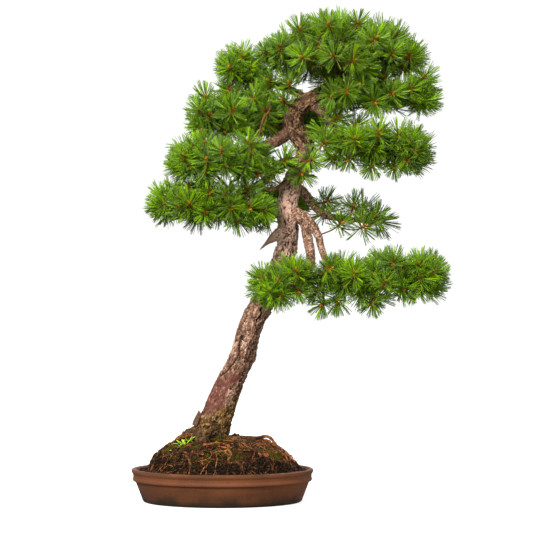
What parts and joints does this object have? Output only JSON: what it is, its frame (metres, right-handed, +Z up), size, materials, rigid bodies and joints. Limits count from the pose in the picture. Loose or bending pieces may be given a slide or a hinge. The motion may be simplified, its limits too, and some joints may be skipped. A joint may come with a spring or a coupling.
{
  "type": "potted pine bonsai tree",
  "caption": "Slanting pine bonsai with cloud-like foliage pads, growing on a root-bound soil mound in a round unglazed clay pan.",
  "frame": {"origin": "centre of the pan's flat base, on the surface that the tree stands on", "axes": "+Z up, +X to the viewer's right and +Y away from the viewer, seen from the tree's front"},
  "size_m": [0.5707, 0.329, 0.8886],
  "materials": {
    "clay": "unglazed, matte, slightly streaked",
    "screen": "matte",
    "soil": "crumbly, matte",
    "moss": "matte",
    "root_bark": "fibrous, matte",
    "bark": "flaking plates, matte",
    "needles": "satin needles"
  },
  "bodies": {
    "root": {"pot": "clay", "drain_screen_1": "screen", "drain_screen_2": "screen", "drain_screen_3": "screen", "soil": "soil", "moss_back": "moss", "moss_back_right": "moss", "moss_front": "moss", "moss_front_right": "moss", "moss_left": "moss", "surface_root_back": "root_bark", "surface_root_back_left": "root_bark", "surface_root_back_right": "root_bark", "surface_root_front": "root_bark", "surface_root_front_left": "root_bark", "surface_root_front_right": "root_bark", "surface_root_left": "root_bark", "surface_root_right": "root_bark", "trunk": "bark", "branch_back_lower": "bark", "branch_back_upper": "bark", "branch_crown_back": "bark", "branch_crown_front": "bark", "branch_crown_left": "bark", "branch_crown_right": "bark", "branch_front": "bark", "branch_left_low": "bark", "branch_left_mid": "bark", "branch_left_upper": "bark", "branch_low_front": "bark", "branch_low_right": "bark", "branch_right_mid": "bark", "branch_right_upper": "bark", "branch_small_right": "bark", "branch_top_left": "bark", "foliage_back_lower": "needles", "foliage_back_upper": "needles", "foliage_crown": "needles", "foliage_front": "needles", "foliage_left_low": "needles", "foliage_left_mid": "needles", "foliage_left_upper": "needles", "foliage_low_front": "needles", "foliage_low_right": "needles", "foliage_right_mid": "needles", "foliage_right_upper": "needles", "foliage_small_right": "needles", "foliage_top_left": "needles"}
  },
  "joints": []
}
